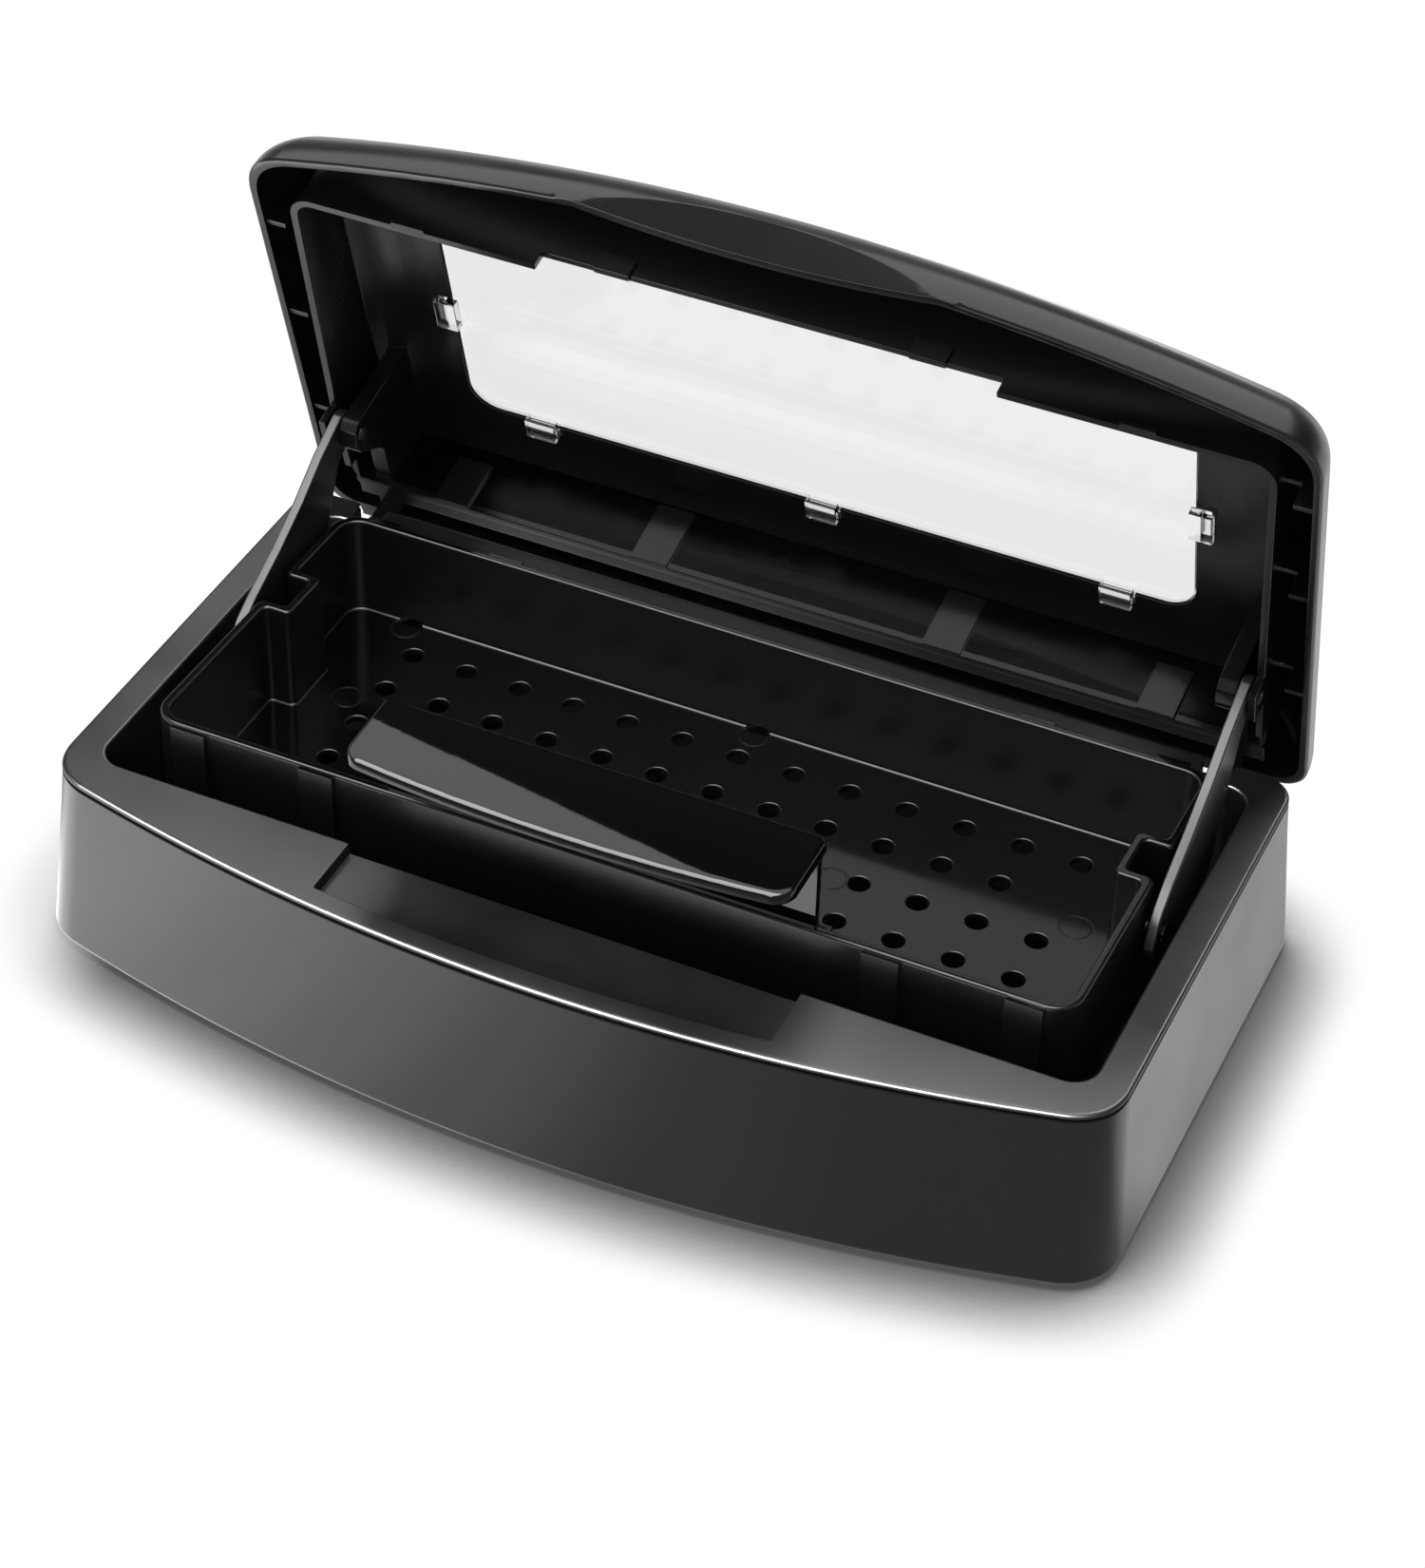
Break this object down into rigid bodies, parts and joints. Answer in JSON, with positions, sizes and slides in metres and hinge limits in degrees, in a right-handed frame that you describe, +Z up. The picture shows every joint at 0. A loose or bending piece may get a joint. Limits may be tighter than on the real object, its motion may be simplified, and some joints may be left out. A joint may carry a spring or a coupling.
{
  "type": "disinfection box",
  "caption": "Tabletop soaking and disinfection box for salon tools, with a hinged domed lid, a clear window and a perforated tray that rises as the lid opens.",
  "frame": {"origin": "on the table, under the centre of the open box's bounding box", "axes": "+X to the user's right along the box's length, +Y from the bowed front to the hinged back, +Z up; the lid stands open and the tray raised"},
  "size_m": [0.2562, 0.1672, 0.1661],
  "materials": {
    "black_plastic": "satin black injection-moulded ABS",
    "gloss_black_plastic": "polished black ABS",
    "tray_plastic": "satin black polypropylene",
    "clear_plastic": "clear polished polycarbonate",
    "rubber": "matt black rubber",
    "steel": "bright drawn steel"
  },
  "bodies": {
    "base": {"base_shell": "black_plastic", "tank_deck": "black_plastic", "foot_front_left": "rubber", "foot_front_right": "rubber", "foot_back_left": "rubber", "foot_back_right": "rubber", "screw_left": "steel", "screw_centre": "steel", "screw_right": "steel", "hinge_pin_left": "steel", "hinge_pin_right": "steel"},
    "lid": {"lid_shell": "black_plastic", "lid_window": "clear_plastic", "arm_pivot_pin_left": "steel", "arm_pivot_pin_right": "steel"},
    "arm_left": {"lift_arm_left": "black_plastic", "lift_roller_left": "steel"},
    "arm_right": {"lift_arm_right": "black_plastic", "lift_roller_right": "steel"},
    "tray": {"tray": "tray_plastic"},
    "handle": {"tray_handle": "gloss_black_plastic"}
  },
  "joints": [
    {"name": "lid_hinge", "type": "hinge", "parent": "base", "child": "lid", "pos_m": [0, 0.05367, 0.0351], "axis": [1, 0, 0], "range_deg": [0, 74.9]},
    {"name": "tray_lift", "type": "slide", "parent": "base", "child": "tray", "axis": [0, 0.2747, 0.9615], "range_m": [-0.019, 0]},
    {"name": "handle_slide", "type": "slide", "parent": "tray", "child": "handle", "axis": [0, 0, 1], "range_m": [-0.0085, 0]},
    {"name": "arm_left_pivot", "type": "hinge", "parent": "lid", "child": "arm_left", "pos_m": [-0.11075, 0.04988, 0.07064], "axis": [1, 0, 0], "range_deg": [-84.3, 0]},
    {"name": "arm_right_pivot", "type": "hinge", "parent": "lid", "child": "arm_right", "pos_m": [0.11075, 0.04988, 0.07064], "axis": [1, 0, 0], "range_deg": [-84.3, 0]}
  ],
  "couplings": [
    {"joint": "tray_lift", "follows": "lid_hinge", "m_per_rad": -0.014481},
    {"joint": "handle_slide", "follows": "lid_hinge", "m_per_rad": -0.006426},
    {"joint": "arm_left_pivot", "follows": "lid_hinge", "ratio": -1.1208},
    {"joint": "arm_right_pivot", "follows": "lid_hinge", "ratio": -1.1208}
  ]
}
